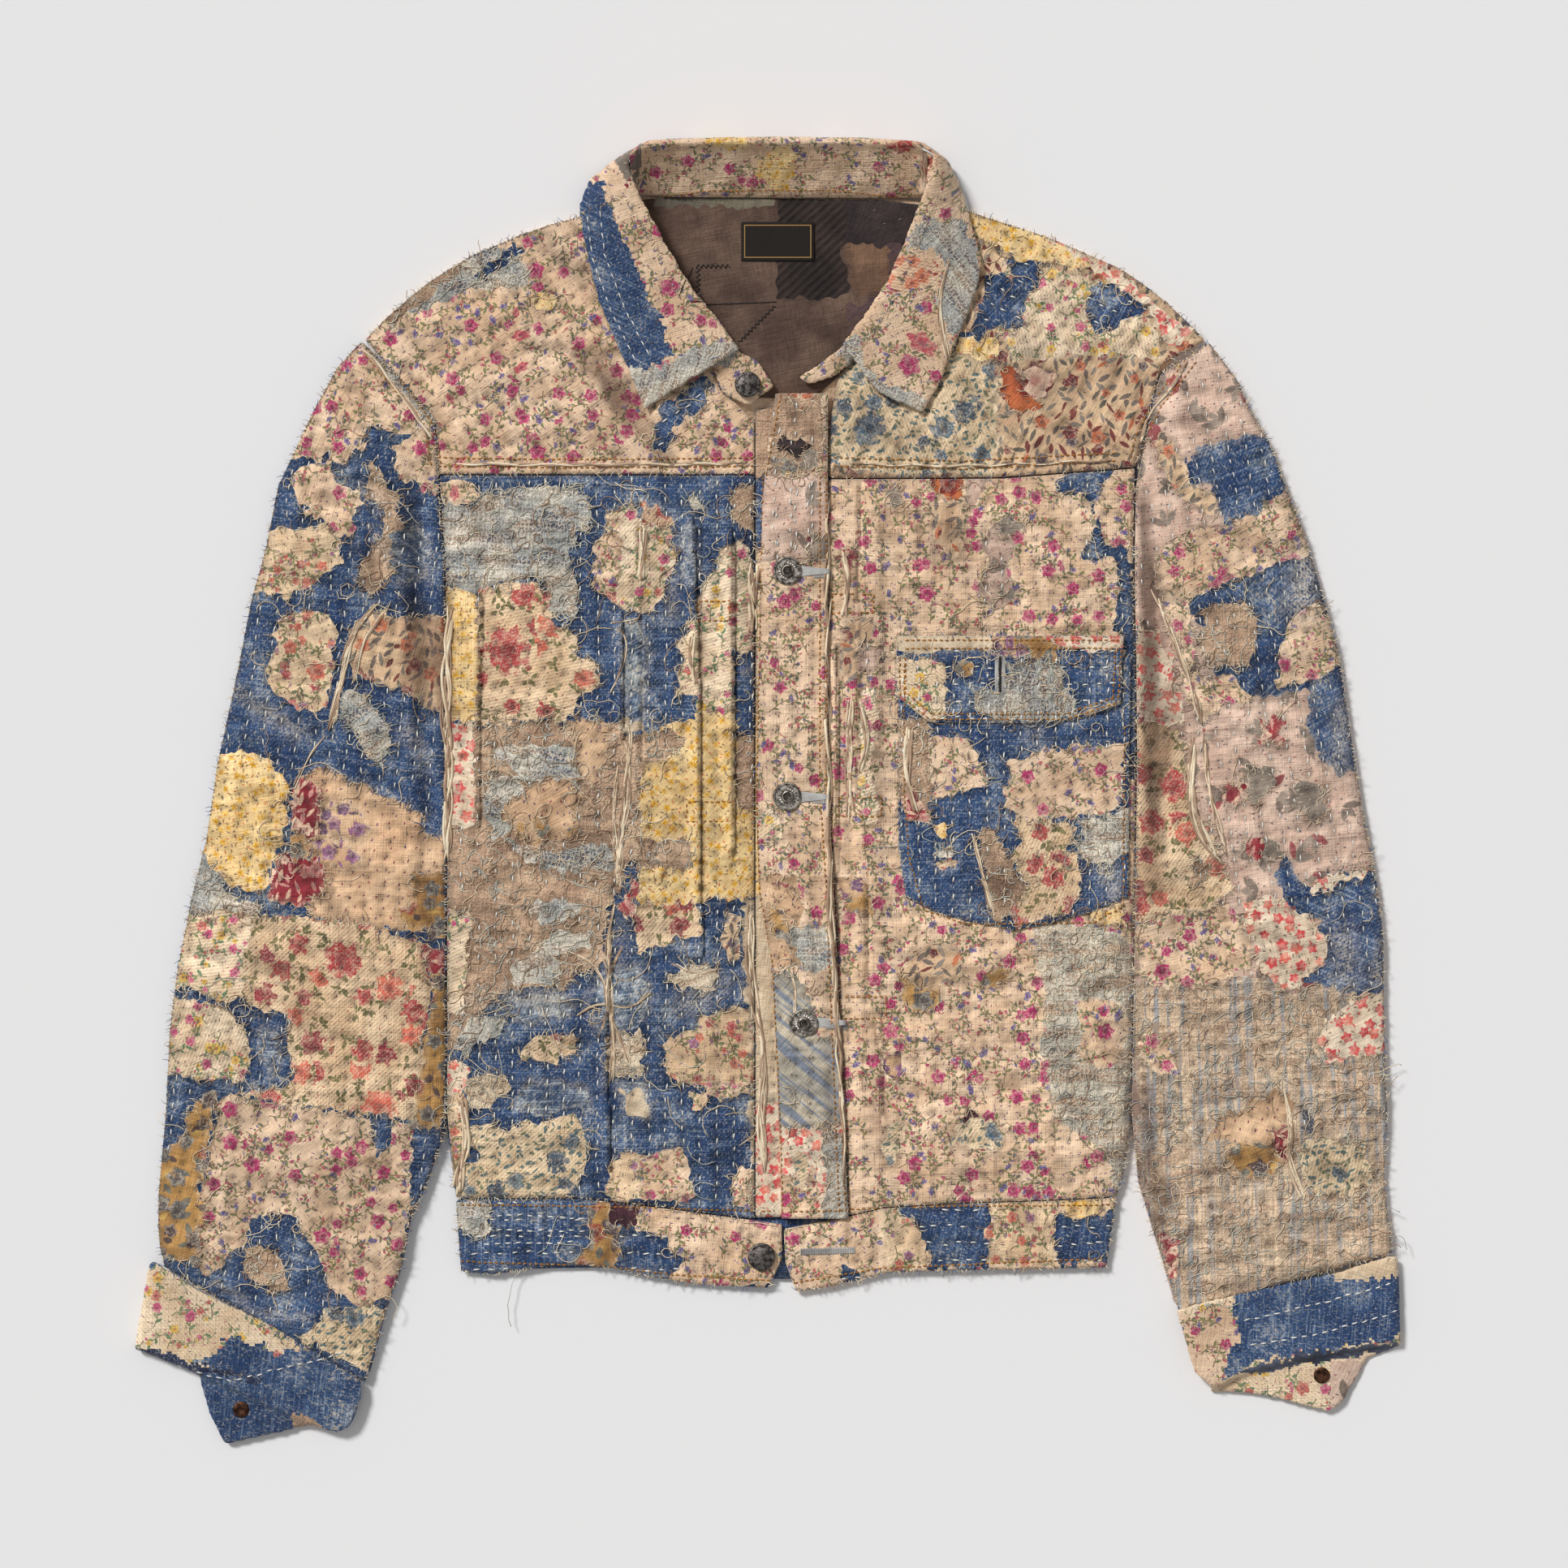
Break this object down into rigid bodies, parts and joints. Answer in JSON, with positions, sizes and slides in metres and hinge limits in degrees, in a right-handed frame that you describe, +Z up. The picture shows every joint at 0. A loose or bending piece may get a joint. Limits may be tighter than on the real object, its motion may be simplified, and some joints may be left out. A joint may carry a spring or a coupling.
{
  "type": "patched boro jacket",
  "caption": "Patched and hand-quilted short button-front jacket lying flat, face up, with turned-down collar, pleated front, chest pocket and open cuffs.",
  "frame": {"origin": "on the surface the jacket lies on, under the middle of its box", "axes": "+X to the wearer's left (the viewer's right), +Y from the hem to the collar, +Z up from the surface to the viewer"},
  "size_m": [0.783, 0.8046, 0.0312],
  "materials": {
    "floral_cloth": "washed cream cotton twill with small printed flowers, frayed patches and quilting stitches",
    "denim_cloth": "faded indigo cotton with rows of white running stitches",
    "gauze_cloth": "worn open gauze, crinkled, taupe to pale grey-green",
    "lining_cloth": "smooth dark taupe cotton lining, pieced and hand stitched",
    "label_cloth": "black woven label with a plain gold border line",
    "button_metal": "aged grey cast tack button, ring round a sunk middle",
    "copper_metal": "dark aged copper"
  },
  "bodies": {
    "root": {"back_body": "floral_cloth", "back_yoke": "floral_cloth", "collar_leaf": "floral_cloth", "collar_stand": "floral_cloth", "cuff_button_left": "copper_metal", "cuff_button_right": "copper_metal", "cuff_left": "denim_cloth", "cuff_right": "denim_cloth", "cuff_rivet_left": "copper_metal", "cuff_rivet_right": "copper_metal", "front_button_1": "button_metal", "front_button_2": "button_metal", "front_button_3": "button_metal", "front_left": "floral_cloth", "front_right": "denim_cloth", "front_yoke_left": "floral_cloth", "front_yoke_right": "floral_cloth", "neck_button": "button_metal", "neck_label": "label_cloth", "neck_lining": "lining_cloth", "patch_gauze_left": "gauze_cloth", "patch_gauze_right": "gauze_cloth", "patch_gauze_sleeve_left": "gauze_cloth", "patch_grey_sleeve_left": "floral_cloth", "patch_magenta_sleeve_right": "floral_cloth", "patch_red_sleeve_left": "floral_cloth", "patch_rose_right": "floral_cloth", "patch_rose_sleeve_right": "floral_cloth", "patch_taupe_right": "gauze_cloth", "patch_teal_right": "floral_cloth", "patch_twill_right": "floral_cloth", "patch_yellow_right": "floral_cloth", "patch_yellow_sleeve_right": "floral_cloth", "placket_left": "floral_cloth", "placket_right": "floral_cloth", "pocket": "denim_cloth", "pocket_flap": "floral_cloth", "sleeve_left_top": "floral_cloth", "sleeve_left_under": "denim_cloth", "sleeve_right_top": "floral_cloth", "sleeve_right_under": "denim_cloth", "waist_button": "copper_metal", "waistband_back": "denim_cloth", "waistband_left": "denim_cloth", "waistband_right": "denim_cloth"}
  },
  "joints": []
}
